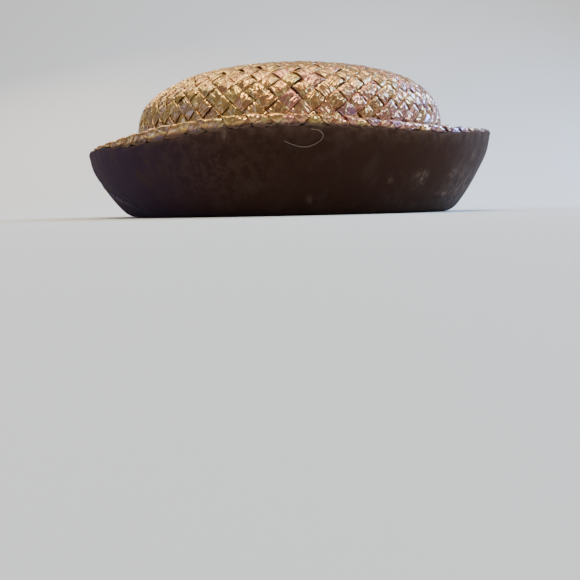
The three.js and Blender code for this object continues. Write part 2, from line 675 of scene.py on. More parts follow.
@dataclass(frozen=True)
class CrownSection:
    """One level oval of the crown's outer face."""

    height: float
    half_width: float
    half_length: float
    shift: float


@dataclass(frozen=True)
class BrimRow:
    """One point of the brim's outer profile, in shares of the rim's height and reach."""

    rise: float
    reach: float


@dataclass(frozen=True)
class RimWave:
    """One wave of the rim's height round the hat, counted from +X."""

    waves: int
    rise: float


@dataclass
class HatForm:
    """The hat's main surfaces: the crown's dome, and the brim's profile carried round the head opening.

    Attributes:
        borders: the plaited border's width, at even steps from +X to -X.
        lay_steepest: the greatest slope of the crown's strips.
        lay_level: the radius inside which they keep a slope of 1.
        lay_steep: the radius outside which they are as steep as their width asks.
        corner_radius: the radius at which the corners of the plait's square top lie.
        fold_bend: the length over which the flat fold turns into the rise.
        samples: points of each measured curve.
    """

    head_half_width: float = 80.0
    head_half_length: float = 95.0
    gap: float = 0.3
    borders: tuple[float, ...] = (1.3, 1.3, 1.7, 3.5, 4.4, 5.0, 5.6, 6.1, 6.7, 5.8, 1.9, 1.3, 1.3)
    lay_steepest: float = 1.4
    lay_level: float = 56.0
    lay_steep: float = 76.0
    largest_sine: float = 0.98
    corner_radius: float = 73.0
    reach_side: float = 31.0
    reach_front: float = 24.0
    rim_height: float = 40.4
    fold_bend: float = 3.0
    rim_waves: tuple[RimWave, ...] = (RimWave(1, 2.6), RimWave(2, -2.6), RimWave(3, 1.8), RimWave(4, 1.0))
    brim_rows: tuple[BrimRow, ...] = (
        BrimRow(0.0, 0.18),
        BrimRow(0.03, 0.32),
        BrimRow(0.11, 0.44),
        BrimRow(0.3, 0.62),
        BrimRow(0.52, 0.79),
        BrimRow(0.74, 0.93),
        BrimRow(1.0, 1.0),
    )
    crown_rows: tuple[CrownSection, ...] = (
        CrownSection(80.0, 0.0, 0.0, 2.0),
        CrownSection(79.4, 22.0, 26.0, 2.0),
        CrownSection(77.0, 43.0, 51.0, 2.0),
        CrownSection(73.0, 60.0, 71.0, 2.0),
        CrownSection(67.5, 71.5, 84.5, 2.0),
        CrownSection(60.5, 79.5, 93.5, 1.0),
        CrownSection(52.0, 83.5, 98.0, 0.5),
        CrownSection(40.0, 84.5, 99.5, 0.0),
        CrownSection(22.0, 84.0, 99.0, 0.0),
        CrownSection(4.2, 82.0, 97.0, 0.0),
    )
    samples: int = 721

    def __post_init__(self) -> None:
        """Measures the lengths of the crown's meridians and of the brim's profile, once."""
        self._crown = np.array([(r.height, r.half_width, r.half_length, r.shift) for r in self.crown_rows])
        self._brim = np.array([(r.reach, r.rise) for r in self.brim_rows])
        self._share = np.linspace(0.0, 1.0, self.samples)
        self._angles = np.linspace(0.0, TURN, self.samples)
        line = spline(self._crown, self._share)
        radius = (line[:, 1] + line[:, 2]) / 2
        self._crown_place = self._spread(radius, line[:, 0])
        rising = slice(0, int(radius.argmax()))
        self.corner = float(np.interp(self.corner_radius, radius[rising], self._crown_place[rising]))
        profile = spline(self._brim, self._share)
        run = self._run(profile * np.array([(self.reach_side + self.reach_front) / 2, self.rim_height]))
        self._brim_place = run / run[-1]
        around = self._run(self.oval(self._angles))
        self._even_angles = TURN * around / around[-1]
        scales = np.stack([self.reach(self._angles), self.height(self._angles)], axis=-1)
        lines = profile[None] * scales[:, None]
        self._brim_runs = np.linalg.norm(np.diff(lines, axis=1), axis=-1).sum(axis=1)
        self.brim_run = float(self._brim_runs.mean())
        self.mean_fold = float(self.fold_width(self._angles).mean())
        self.reach_x = self.head_half_width + self.reach_side

    @staticmethod
    def _run(line: Array) -> Array:
        """The length along a line, up to each of its points."""
        return np.concatenate([[0.0], np.cumsum(np.linalg.norm(np.diff(line, axis=0), axis=1))])

    def _spread(self, radius: Array, height: Array) -> Array:
        """How far from the middle each level lies, when the crown is spread out as a disc of radius 1.

        From the base up, the distance's logarithm falls by the step up the meridian, over the level's radius
        and the lay's steepness. The lay steepens where the crown closes in, so that a strip keeps its width.

        Args:
            radius: each level's mean radius, from the apex down to the base.
            height: its height.

        Returns:
            The distances.
        """
        step = np.hypot(np.diff(radius), np.diff(height))
        level = (radius[1:] + radius[:-1]) / 2
        sine = np.minimum(math.sqrt(0.5) * radius.max() / level, self.largest_sine)
        steepness = np.clip(sine / np.sqrt(1 - sine**2), 1.0, self.lay_steepest)
        blend = eased((level - self.lay_level) / (self.lay_steep - self.lay_level))
        fall = step / (level * (1 + (steepness - 1) * blend))
        spread = np.exp(-np.append(np.cumsum(fall[::-1])[::-1], 0.0))
        spread[0] = 0.0
        return spread

    def crown_point(self, flat: Array) -> Array:
        """The crown's outer face, from a disc whose middle is the apex and whose rim is the crown's base.

        A place's distance from the middle is how far down the meridian it lies. Its turn is the way round.

        Args:
            flat: complex places on the disc of radius 1.

        Returns:
            The points on the hat.
        """
        angle = np.interp(np.mod(np.angle(flat), TURN), self._even_angles, self._angles)
        share = np.interp(np.abs(flat), self._crown_place, self._share)
        row = spline(self._crown, share)
        width = row[..., 1] * np.cos(angle) + row[..., 3]
        return np.stack([width, row[..., 2] * np.sin(angle), row[..., 0]], axis=-1)

    def crown_frame(self, flat: Array, depth: float, step: float = 0.002) -> tuple[Array, Array]:
        """Points behind the crown's outer face, and the face's outward directions there.

        Args:
            flat: complex places on the disc of radius 1.
            depth: how far behind the face.
            step: the step of the slopes.

        Returns:
            The points and the unit directions.
        """
        slope_x = self.crown_point(flat + step) - self.crown_point(flat - step)
        slope_y = self.crown_point(flat + step * 1j) - self.crown_point(flat - step * 1j)
        outward = unit(np.cross(slope_x, slope_y))
        return self.crown_point(flat) - depth * outward, outward

    def height(self, angle: Array) -> Array:
        """The rim's height: its mean and the sum of its waves."""
        return self.rim_height + sum(row.rise * np.cos(row.waves * angle) for row in self.rim_waves)

    def reach(self, angle: Array) -> Array:
        """The rim's reach past the head opening, wider at the sides than at the front and back."""
        return self.reach_side * np.cos(angle) ** 2 + self.reach_front * np.sin(angle) ** 2

    def oval(self, angle: Array) -> Array:
        """The head opening's edge."""
        round_turn = np.stack([np.cos(angle), np.sin(angle), np.zeros_like(angle)], axis=-1)
        return round_turn * np.array([self.head_half_width, self.head_half_length, 0.0])

    def outward(self, angle: Array) -> Array:
        """Level unit directions square to the head opening."""
        round_turn = np.stack([np.cos(angle), np.sin(angle), np.zeros_like(angle)], axis=-1)
        return unit(round_turn * np.array([self.head_half_length, self.head_half_width, 0.0]))

    def fold_width(self, angle: Array) -> Array:
        """How wide the flat fold is, from the head opening to where the brim starts to rise."""
        return self.brim_rows[0].reach * self.reach(angle) - self.gap

    def border(self, angle: Array) -> Array:
        """How much plait shows above the velvet: a smooth curve from +X to -X, alike at front and back."""
        share = np.arccos(np.clip(np.cos(angle), -1.0, 1.0)) / math.pi
        return spline(np.array(self.borders)[:, None], share)[..., 0]

    def profile_run(self, angle: Array) -> Array:
        """The length of the rising profile, from the fold to the rim."""
        return np.interp(np.mod(angle, TURN), self._angles, self._brim_runs)

    def brim_frame(self, angle: Array, run: Array, depth: Array) -> tuple[Array, Array, Array]:
        """Points of the brim behind the velvet's face.

        The profile is flat from the head opening to the fold's edge, where run is 0, then rises to the rim.

        Args:
            angle: the way round the hat, from +X.
            run: millimetres along the profile, less than 0 on the flat fold.
            depth: how far behind the velvet's face.

        Returns:
            The points, and the unit directions up the profile and into the brim.
        """
        angle, run, depth = np.broadcast_arrays(angle, run, depth)
        scale = np.stack([self.reach(angle), self.height(angle)], axis=-1)
        share = np.interp(run / self.profile_run(angle), self._brim_place, self._share)
        step = 0.5 / self.samples
        rise = (spline(self._brim, share + step) - spline(self._brim, share - step)) * scale
        turn = eased(run / self.fold_bend + 0.5)[..., None]
        rise = unit(unit(rise) * turn + np.array([1.0, 0.0]) * (1 - turn))
        place = spline(self._brim, share) * scale
        place = place + np.stack([np.minimum(run, 0.0), np.zeros_like(run)], axis=-1)
        level = self.outward(angle)
        upright = np.array([0.0, 0.0, 1.0])
        up = level * rise[..., :1] + upright * rise[..., 1:]
        into = -level * rise[..., 1:] + upright * rise[..., :1]
        points = self.oval(angle) + level * place[..., :1] + upright * place[..., 1:]
        return points + into * depth[..., None], up, into


@dataclass(frozen=True)
class Crinkle:
    """A crumpled strip's creases: folded planes, as triangle waves of a few lengths and directions."""

    pleats: tuple[float, ...] = (3.3, 2.3)
    pleat_height: float = 0.1
    pleat_turn_deg: float = 9.0
    crumples: tuple[float, ...] = (7.4, 5.2, 3.7)
    crumple_height: float = 0.12

    def relief(self, across: Array, along: Array, random: np.random.Generator) -> Array:
        """The sum of a strip's pleats, which run nearly along it, and its crumples, which run any way.

        Args:
            across: millimetres from the strip's middle line.
            along: millimetres along it.
            random: the source of the phases and directions.

        Returns:
            The height above the smooth strip.
        """
        lean = math.radians(self.pleat_turn_deg)
        waves = [(length, self.pleat_height, -lean, lean) for length in self.pleats]
        waves += [(length, self.crumple_height, 0.0, math.pi) for length in self.crumples]
        total = np.zeros_like(across)
        for length, height, least, most in waves:
            turn = least + (most - least) * random.random()
            line = across * math.cos(turn) + along * math.sin(turn)
            total = total + height * folded(line / length + random.random())
        return total


@dataclass
class Strip:
    """One plaited strip's section: pillowed and crinkled above, flat below."""

    pitch: float = 7.1
    width_share: float = 0.95
    thickness: float = 0.4
    lift: float = 0.8
    tilt: float = 0.27
    pillow: float = 0.22
    flatness: float = 1.9
    level_edge_shade: float = 0.93
    step: float = 1.25
    across: tuple[float, ...] = (-0.5, -0.44, -0.3, -0.15, 0.0, 0.15, 0.3, 0.44, 0.5)
    least_ride: float = 0.75
    most_ride: float = 1.2
    crinkle: Crinkle = Crinkle()

    def lanes(self) -> Array:
        """The places across the strip, in shares of the pitch."""
        return np.array(self.across) * self.width_share

    def uv_start(self, row: int, family: Family) -> float:
        """Where the strip's UV starts, so that each strip has its own part of the pattern."""
        return (row + UV_FAMILY_ROWS * family.value) * UV_ROW_SPACING * self.pitch

    def ride(self, crossing: Array, number: int, family: Family, draw: "StripDraw") -> Array:
        """How high the strip rides: a flattened wave, up where it passes over and down where it passes under.

        The wave is uneven from crossing to crossing, and each crossing tilts to one edge.

        Args:
            crossing: strips crossed so far.
            number: the strip's own number.
            family: which run the strip belongs to.
            draw: the strips' random draws.

        Returns:
            The strip's height.
        """
        wave = np.tanh(self.flatness * np.cos(math.pi * (crossing + number))) / math.tanh(self.flatness)
        uneven = draw.uneven(crossing, self.least_ride, self.most_ride)
        tilt = draw.uneven(crossing, -self.tilt, self.tilt) * 2 * np.array(self.across)
        return family.sign * self.lift * wave * uneven + tilt

    def sweep(
        self, middle: Array, outward: Array, ride: Array, uv: Array, values: Mapping[str, Array]
    ) -> Surface:
        """A closed strip: its section, a row of points above and two below, carried along a grid.

        Args:
            middle: points on the plait's middle surface, for each step along and each place across.
            outward: the unit directions there.
            ride: how high the strip rides there.
            uv: millimetres across and along.
            values: the creases' relief, the tint and the shade there.

        Returns:
            The strip.
        """
        share = 2 * np.array(self.across)
        bulge = np.sqrt(np.maximum(1 - share**2, 0.0))
        top = ride + self.pillow * bulge + self.thickness / 2 + values["relief"] * bulge
        bottom = (ride - self.thickness / 2)[:, [-1, 0]]
        above = middle + outward * top[..., None]
        below = middle[:, [-1, 0]] + outward[:, [-1, 0]] * bottom[..., None]
        ring = np.concatenate([above, below], axis=1)
        steps, count = ring.shape[:2]
        index = np.arange(steps * count).reshape(steps, count)
        quads = rings_joined(index)
        ends = np.stack([index[0, ::-1], index[-1]])
        half = steps // 2
        centre = len(self.across) // 2
        slope_across = above[half, -1] - above[half, 0]
        slope_along = middle[min(half + 1, steps - 1), centre] - middle[half - 1, centre]
        if np.dot(np.cross(slope_across, slope_along), outward[half, centre]) < 0:
            quads = quads[:, ::-1]
            ends = ends[:, ::-1]

        def around(grid: Array) -> Array:
            """The grid's values for each point of the ring."""
            return np.concatenate([grid, grid[:, [-1, 0]]], axis=1)

        # Painted shadow: the edge value is full on a strip's downward edge, about half on level edges and
        # least on upward ones, as if lit from above.
        fall = -unit(middle[:, -1] - middle[:, 0])[:, 2:]
        lower = self.level_edge_shade + (1 - self.level_edge_shade) * fall * np.sign(share)
        kept = {"edge": np.abs(share) * lower, "tint": values["tint"], "shade": values["shade"]}
        kept = {key: around(grid).ravel() for key, grid in kept.items()}
        return Surface(ring.reshape(-1, 3), [quads, ends], around(uv).reshape(-1, 2), kept)


@dataclass
class StripDraw:
    """The random draws of the strips: their tints, their unevenness and how each strip wanders.

    Attributes:
        seed: the random seed.
        strip_share: how much of a tint the strip sets, against its crossings.
        spread: how far apart the tints at one place are.
        rose_drift: how far the tints drift from gold at -X to rose at +X, each way.
        slow_share: how much of a wander the longer sine makes.
        quick_length: the shorter sine's length, as a share of the longer one's.
    """

    seed: int
    strip_share: float = 0.5
    spread: float = 0.54
    rose_drift: float = 0.5
    slow_share: float = 0.65
    quick_length: float = 0.41

    def __post_init__(self) -> None:
        """Starts the draw."""
        self.random = np.random.default_rng(self.seed)

    def tint(self, crossing: Array, side: Array) -> Array:
        """One strip's tints.

        Args:
            crossing: the crossings passed at each point of the strip.
            side: where the point lies, from -1 at the hat's -X side to 1 at its +X side.

        Returns:
            The tint there, from 0 to 1.
        """
        own = self.random.random()
        shifts = self.uneven(held(crossing), 0.0, 1.0)
        mixed = self.strip_share * own + (1 - self.strip_share) * shifts
        return 0.5 + self.spread * (mixed - 0.5) + self.rose_drift * side

    def uneven(self, crossing: Array, least: float, most: float) -> Array:
        """A random value for each crossing, and straight between crossings.

        Args:
            crossing: the crossings passed at each point of the strip.
            least: the least value.
            most: the greatest value.

        Returns:
            The value there.
        """
        low = int(np.floor(crossing.min())) - 1
        high = int(np.ceil(crossing.max())) + 1
        each = self.random.uniform(least, most, high - low + 1)
        return np.interp(crossing, np.arange(low, high + 1), each)

    def wander(self, along: Array, size: float, length: float) -> Array:
        """A slow sideways wander: two sines of random phase.

        Args:
            along: millimetres along the strip.
            size: the greatest wander.
            length: the longer sine's length.

        Returns:
            The wander.
        """
        phase = self.random.random(2) * TURN
        slow = np.sin(TURN * along / length + phase[0])
        quick = np.sin(TURN * along / (self.quick_length * length) + phase[1])
        return size * (self.slow_share * slow + (1 - self.slow_share) * quick)


@dataclass
class BiasLattice:
    """A bias plait's lay over the crown, as on a box: straight over a square top, slanted round the sides.

    The crown is spread out as a disc. For one step of the lay, the place on the disc moves by the fourth root
    of 1 + (place / corner) ** 4, so that the lay turns by a quarter round each of the top's four corners.

    Attributes:
        corner: the corners' distance from the middle of the disc.
        lanes: the places across a strip, in shares of the pitch.
        strips_round: strips of each slant round the base, a multiple of 4.
        finer: traced steps for each strip crossed.
        ray_steps: steps of the sums along a ray.
    """

    corner: float
    lanes: Array
    strips_round: int = 56
    finer: int = 16
    ray_steps: int = 4000

    def __post_init__(self) -> None:
        """Traces the lines of the strips to one side of the middle, from their middles out to the base."""
        self.half = self.strips_round // 4
        self.pitch = TURN * self.corner / (self.strips_round * ROOT_2)
        ray = (np.arange(self.ray_steps) + 0.5) / self.ray_steps
        upright = np.mean((1 + (ray / self.corner) ** 4) ** -0.25) - math.pi * self.corner / 4
        self.side = ROOT_2 * upright / self.pitch
        diagonal = np.cumsum((1 - ray**4) ** -0.25)
        start = np.arange(self.half)[:, None] + 0.5 + self.lanes
        away = np.interp(start, self.half * diagonal / diagonal[-1], self.corner * (ray + ray[0]))
        self.lines = self._traced(away * np.exp(0.75j * math.pi))

    def _traced(self, place: Array) -> Array:
        """Follows the lay from its places on one diagonal of the top, by fourth-order steps.

        Args:
            place: the complex places on the disc.

        Returns:
            The places at each step, with the steps last.
        """
        pace = self.pitch / self.finer
        heading = np.full_like(place, np.exp(0.25j * math.pi))
        rows = [place]
        for _ in range(int((self.half + self.side + 1) * self.finer)):
            first = self._slope(place, heading)
            second = self._slope(place + first * pace / 2, first)
            third = self._slope(place + second * pace / 2, second)
            heading = self._slope(place + third * pace, third)
            place = place + (first + 2 * second + 2 * third + heading) * pace / 6
            rows.append(place)
        return np.stack(rows, axis=-1)

    def _slope(self, place: Array, heading: Array) -> Array:
        """The change for one step of the lay: of the four fourth roots, the one nearest to the heading.

        Args:
            place: the complex places on the disc.
            heading: the change before.

        Returns:
            The change.
        """
        root = np.exp(0.25j * math.pi) * (1 + (place / self.corner) ** 4) ** 0.25
        quarters = np.round(np.angle(heading / root) / (math.pi / 2))
        return root * np.exp(0.5j * math.pi * quarters)

    def reach(self, number: int) -> Array:
        """How many strips each lane of a strip crosses from its middle to the base."""
        return self.half - np.abs(number + 0.5 + self.lanes) + self.side

    def lay(self, number: int, along: Array, family: Family) -> Array:
        """Places along one strip, mirrored and turned from the traced lines.

        Args:
            number: the strip's number, from -half to half - 1.
            along: strips crossed from its middle, for each step along and each lane.
            family: its run.

        Returns:
            The complex places on the disc.
        """
        lines = self.lines[number] if number >= 0 else self.lines[-1 - number, ::-1]
        just_inside = lines.shape[-1] - 1.001
        step = np.minimum(np.abs(along) * self.finer, just_inside)
        whole = step.astype(int)
        part = step - whole
        lane = np.arange(len(self.lanes))
        flat = lines[lane, whole] * (1 - part) + lines[lane, whole + 1] * part
        flat = np.where(along < 0, -1j * np.conj(flat), flat)
        flat = flat if number >= 0 else 1j * np.conj(flat)
        return flat if family is Family.RISING else np.conj(flat)


@dataclass
class CrownPlait:
    """The crown: two runs of strips plaited on the bias, over the top and down the wall."""

    form: HatForm
    strip: Strip = field(default_factory=Strip)
    depth: float = 1.25
    wander: float = 0.5
    wander_length: float = 61.0
    swell: float = 0.11
    swell_length: float = 25.0
    first_uv_row: int = 60
    seed: int = 11
    name: str = "crown_plait"

    def build(self, material: bpy.types.Material) -> list[bpy.types.Object]:
        """Makes each run of strips as one piece.

        Args:
            material: the plait's finish.

        Returns:
            The two pieces.
        """
        draw = StripDraw(self.seed)
        lattice = BiasLattice(self.form.corner, self.strip.lanes())
        made = []
        for family in Family:
            numbers = range(-lattice.half, lattice.half)
            strips = Surface.joined(self._strip(number, family, lattice, draw) for number in numbers)
            made.append(strips.to_object(f"{self.name}_{family.name.lower()}", material))
        return made

    def _strip(self, number: int, family: Family, lattice: BiasLattice, draw: StripDraw) -> Surface:
        """One strip, whose every lane ends on the crown's base.

        Args:
            number: the strip's number.
            family: its run.
            lattice: the plait's lay.
            draw: the strips' random draws.

        Returns:
            The strip.
        """
        strip = self.strip
        reach = lattice.reach(number)
        steps = int(np.ceil(2 * reach.max() * strip.pitch / strip.step)) + 1
        share = np.linspace(-1.0, 1.0, steps)[:, None]
        along = reach * share
        wide, line = np.broadcast_arrays(lattice.lanes * strip.pitch, along * strip.pitch)
        middle, outward = self.form.crown_frame(lattice.lay(number, along, family), self.depth)
        wider = wide * draw.wander(line, self.swell, self.swell_length)
        sideways = (draw.wander(line, self.wander, self.wander_length) + wider) * np.cos(math.pi / 2 * share)
        middle = middle + unit(middle[:, -1:] - middle[:, :1]) * sideways[..., None]
        crossing = along - 0.5
        ride = strip.ride(crossing, number, family, draw)
        values = {
            "relief": strip.crinkle.relief(wide, line, draw.random),
            "tint": draw.tint(crossing, middle[..., 0] / self.form.reach_x),
            "shade": np.zeros_like(crossing),
        }
        uv = np.stack([wide + strip.uv_start(number + self.first_uv_row, family), line], axis=-1)
        return strip.sweep(middle, outward, ride, uv, values)


@dataclass
class BrimPlait:
    """The brim: the same plait up the inside of the turned-up brim and over its rim into a rolled border.

    Attributes:
        last_row_up: how far before the way's end the last row of crossings lies.
        inner_depth: how far the plait's middle lies behind the velvet's face, inside the brim.
        outer_depth: the same outside it.
        under_rim: how far the roll stays below the rim.
        tuck: the radius of the quarter turn in, and tuck_above where it starts, above the border's edge.
        way_steps: points up the inside, over the rim, down the outside and in.
        hidden: the length behind the velvet, and foot the length over which it falls into shade.
        outside: the length over which the border takes its own width at each angle.
        border: its widest before that.
        sink: how far a narrowed border's end sinks, in full where it is narrower by sink_from.
    """

    form: HatForm
    strip: Strip = field(
        default_factory=lambda: Strip(
            lift=0.66,
            tilt=0.4,
            pillow=0.2,
            flatness=2.2,
            step=1.05,
            crinkle=Crinkle(pleat_height=0.14, crumple_height=0.17),
        )
    )
    strips_round: int = 62
    rows_up: int = 11
    last_row_up: float = 2.0
    inner_depth: float = 3.2
    outer_depth: float = 1.3
    under_rim: float = 0.9
    tuck: float = 0.9
    tuck_above: float = 0.4
    way_steps: tuple[int, int, int, int] = (60, 17, 8, 7)
    hidden: float = 1.9
    outside: float = 5.6
    border: float = 5.4
    sink: float = 1.2
    sink_from: float = 3.0
    foot: float = 5.0
    wander: float = 0.07
    swell: float = 0.12
    swell_length: float = 19.0
    first_uv_row: int = 400
    seed: int = 29
    name: str = "brim_plait"

    def build(self, material: bpy.types.Material) -> bpy.types.Object:
        """Makes the brim's strips as one piece.

        Args:
            material: the plait's finish.

        Returns:
            The piece.
        """
        draw = StripDraw(self.seed)
        path = self._path()
        slant = 2 * (path[0, -1] - self.last_row_up) / self.rows_up
        strips = [
            self._strip(number, family, path, slant, draw)
            for family in Family
            for number in range(self.strips_round)
        ]
        return Surface.joined(strips).to_object(self.name, material)

    def _path(self) -> Array:
        """The plait's way: up the inside, half a turn over the rim, down the outside and a quarter turn in.

        Returns:
            Rows of the length so far, the share of the rise, millimetres below the rim, the depth behind the
            velvet's face, and the outward direction's part up the profile and into the brim.
        """
        roll = (self.inner_depth - self.outer_depth) / 2
        middle = (self.inner_depth + self.outer_depth) / 2
        top = roll + self.under_rim
        ends = ((0.0, 1.0), (0.0, math.pi), (top, self.border - self.tuck_above), (0.0, math.pi / 2))
        climb, half, drop, quarter = (np.linspace(*pair, count) for pair, count in zip(ends, self.way_steps))
        half_sine = np.sin(half)
        half_cosine = np.cos(half)
        tuck_run = drop[-1] + self.tuck * np.sin(quarter)
        tuck_depth = self.outer_depth + self.tuck * (1 - np.cos(quarter))
        parts = (
            (climb, top * climb, self.inner_depth, 0.0, 1.0),
            (1.0, top - roll * half_sine, middle + roll * half_cosine, half_sine, half_cosine),
            (1.0, drop, self.outer_depth, 0.0, -1.0),
            (1.0, tuck_run, tuck_depth, -np.sin(quarter), -np.cos(quarter)),
        )
        # Each part after the first starts where the one before it ends, so its first column is left out.
        blocks = [np.stack(np.broadcast_arrays(*part)) for part in parts]
        rows = np.concatenate([blocks[0]] + [block[:, 1:] for block in blocks[1:]], axis=1)
        place = np.stack([rows[0] * (self.form.brim_run + self.form.mean_fold) - rows[1], rows[2]])
        length = np.concatenate([[0.0], np.cumsum(np.linalg.norm(np.diff(place, axis=1), axis=0))])
        return np.vstack([length, rows])

    def _strip(self, number: int, family: Family, path: Array, slant: float, draw: StripDraw) -> Surface:
        """One slanted strip: it moves on by one strip's width for each slant's length along the way.

        Args:
            number: the strip's number round the hat.
            family: its run.
            path: the plait's way.
            slant: the length along the way.
            draw: the strips' random draws.

        Returns:
            The strip.
        """
        strip = self.strip
        lanes = strip.lanes()
        steps = int(np.ceil(path[0, -1] / strip.step)) + 1
        length = np.linspace(0.0, path[0, -1], steps)[:, None]
        to_end = length - path[0, -1]
        shift = self.wander * (2 * draw.random.random() - 1)
        wider = 1.0 + draw.wander(length * ROOT_2, self.swell, self.swell_length)
        moved = family.sign * length / slant
        turns = number + shift + lanes * wider + moved
        angle = TURN * turns / self.strips_round
        share, below, depth, part_up, part_in = (np.interp(length, path[0], row) for row in path[1:])
        fold = self.form.fold_width(angle)
        narrower = self.border - self.form.border(angle)
        late = eased(to_end / self.outside + 1.0)
        below = below - narrower * late
        depth = depth + self.sink * eased(narrower / self.sink_from) * late
        run = -fold + (self.form.profile_run(angle) + fold) * share - below
        middle, up, into = self.form.brim_frame(angle, run, depth)
        outward = up * part_up[..., None] + into * part_in[..., None]
        crossing = turns - shift + moved
        ride = strip.ride(crossing, number, family, draw)
        wide, line = np.broadcast_arrays(lanes * strip.pitch, length * ROOT_2)
        values = {
            "relief": strip.crinkle.relief(wide, line, draw.random),
            "tint": draw.tint(crossing, middle[..., 0] / self.form.reach_x),
            "shade": np.broadcast_to(eased((to_end + self.hidden) / self.foot + 1.0), wide.shape),
        }
        uv = np.stack([wide + strip.uv_start(number + self.first_uv_row, family), line], axis=-1)
        return strip.sweep(middle, outward, ride, uv, values)


@dataclass(frozen=True)
class VelvetMark:
    """A spot where the pile lies the wrong way: its angle, rise, half width, half height and strength."""

    angle_deg: float
    rise: float
    wide: float
    tall: float
    strength: float


@dataclass(frozen=True)
class Ripple:
    """One wave round the velvet's upper edge: how many to a turn, its phase in radians and its height."""

    waves: int
    phase: float
    height: float


@dataclass
class VelvetFacing:
    """The velvet on the brim's outside, from under the border to the fold and in at the head opening.

    Attributes:
        upper_edge: points of the rounded edge, above the face and behind it.
        turned_in: how far the velvet turns in at the head opening, with a bulge and the power of its curve.
        tuck_places: where the turned-in end lies past the head opening.
        back_above: how far the velvet's back goes up past its face.
        pucker_waves: gathers to a turn, waves of their drift and waves of their depth.
        swell_fall: how much weaker each wave of the swell is.
        lip_off: how far below the crease its lifted lip lies, in widths of the crease.
    """

    form: HatForm
    facets: int = 420
    face_steps: int = 46
    fold_steps: int = 6
    back_steps: int = 20
    wall: float = 1.45
    upper_edge: tuple[tuple[float, float], ...] = ((0.85, 1.1), (0.45, 0.45), (0.15, 0.1))
    turned_in: float = 3.9
    turned_bulge: float = 0.75
    turned_power: float = 1.3
    tuck_depth: float = 2.4
    tuck_places: tuple[float, float, float] = (0.1, 0.1, 0.6)
    back_above: float = 0.5
    pucker: float = 0.32
    pucker_reach: float = 4.5
    pucker_waves: tuple[int, int, int] = (64, 7, 11)
    pucker_drift: float = 3.0
    pucker_uneven: float = 0.4
    pucker_phase: float = 1.0
    upper_light_reach: float = 4.0
    ripples: tuple[Ripple, ...] = (Ripple(31, 0.7, 0.22), Ripple(47, 2.1, 0.176), Ripple(79, 4.0, 0.154))
    swell: float = 0.16667
    swell_waves: tuple[int, ...] = (3, 5, 8, 11, 17, 23)
    swell_fall: float = 0.25
    swell_height: float = 14.0
    swell_foot: float = 10.0
    swell_head: float = 6.0
    crease_angle_deg: float = 203.0
    crease_rise: float = 19.5
    crease_slope: float = 0.33
    crease_depth: float = 0.9
    crease_width: float = 1.1
    crease_reach: float = 18.0
    crease_light: float = 1.3
    crease_foot: float = 8.0
    lip_off: float = 2.1
    lip_share: float = 0.55
    marks: tuple[VelvetMark, ...] = (
        VelvetMark(306.8, 21.8, 3.4, 4.2, 1.0),
        VelvetMark(320.0, 14.5, 5.0, 1.3, 1.0),
        VelvetMark(320.0, 25.5, 4.0, 3.0, 0.6),
        VelvetMark(328.8, 19.5, 4.5, 4.0, 0.75),
        VelvetMark(328.2, 36.5, 4.0, 3.5, 0.5),
        VelvetMark(344.0, 15.4, 6.0, 3.5, 0.7),
        VelvetMark(348.0, 24.0, 24.0, 20.0, 0.7),
        VelvetMark(254.7, 42.5, 0.8, 3.2, 0.7),
        VelvetMark(274.8, 11.6, 0.8, 2.0, 0.7),
        VelvetMark(296.8, 20.8, 1.2, 1.2, 0.6),
        VelvetMark(334.0, 4.0, 6.0, 2.5, 0.6),
        VelvetMark(331.0, 18.0, 20.0, 13.0, 0.58),
        VelvetMark(251.0, 27.0, 32.0, 15.0, 0.13),
    )
    cut_width_m: float = 0.064
    cut_length_m: float = 0.66
    seed: int = 5
    name: str = "velvet_facing"

    def build(self, material: bpy.types.Material) -> bpy.types.Object:
        """Makes the velvet as one closed layer: its outer way and its inner way, carried round the hat.

        Args:
            material: the velvet's finish.

        Returns:
            The piece.
        """
        angle = np.linspace(0.0, TURN, self.facets, endpoint=False)[:, None]
        run, depth = (np.concatenate(pair, axis=1) for pair in zip(self._outer(angle), self._inner(angle)))
        angles = np.broadcast_to(angle, run.shape)
        points, _, _ = self.form.brim_frame(angles, run, depth)
        index = np.arange(run.size).reshape(run.shape)
        quads = rings_joined(np.concatenate([index, index[:1]]))
        uv = np.stack([angles * self.form.head_half_length, run], axis=-1).reshape(-1, 2)
        values = {"crush_marks_and_crease_light": self._marks(angles, run).ravel(), "painted_upper_light": self._painted_upper_light(angles, run).ravel()}
        return Surface(points.reshape(-1, 3), [quads], uv, values).to_object(self.name, material)

    def _around(self, angle: Array, start_deg: float) -> Array:
        """Millimetres round the face from a start, the short way."""
        turn = np.mod(angle - math.radians(start_deg) + math.pi, TURN) - math.pi
        return turn * (self.form.head_half_length + self.form.reach_front / 2)

    def _marks(self, angle: Array, run: Array) -> Array:
        """How strongly each point is marked: the strongest of the marks, each a bell round its middle, and a
        painted highlight along the crease's lip.

        Args:
            angle: the way round the hat.
            run: millimetres up the face.

        Returns:
            The strength, about 0 to 1.
        """
        # Painted highlight: a lighter line along the lip below the crease, laid in with the crushed-pile
        # marks.
        strongest = self.crease_light * self._crease_bell(angle, run, self.lip_off)
        for row in self.marks:
            sideways = self._around(angle, row.angle_deg) / row.wide
            upward = (run - row.rise) / row.tall
            strongest = np.maximum(strongest, row.strength * np.exp(-(sideways**2) - upward**2))
        return strongest

    def _painted_upper_light(self, angle: Array, run: Array) -> Array:
        """The painted highlight below the velvet's upper edge: most at the upper edge, and less and less
        below it.
        """
        return np.exp(-np.maximum(self._top(angle) - run, 0.0) / self.upper_light_reach)

    def _top(self, angle: Array) -> Array:
        """The upper edge: millimetres along the profile, with a small ripple round the hat."""
        ripple = sum(row.height * np.sin(row.waves * angle + row.phase) for row in self.ripples)
        return self.form.profile_run(angle) - self.form.border(angle) + ripple

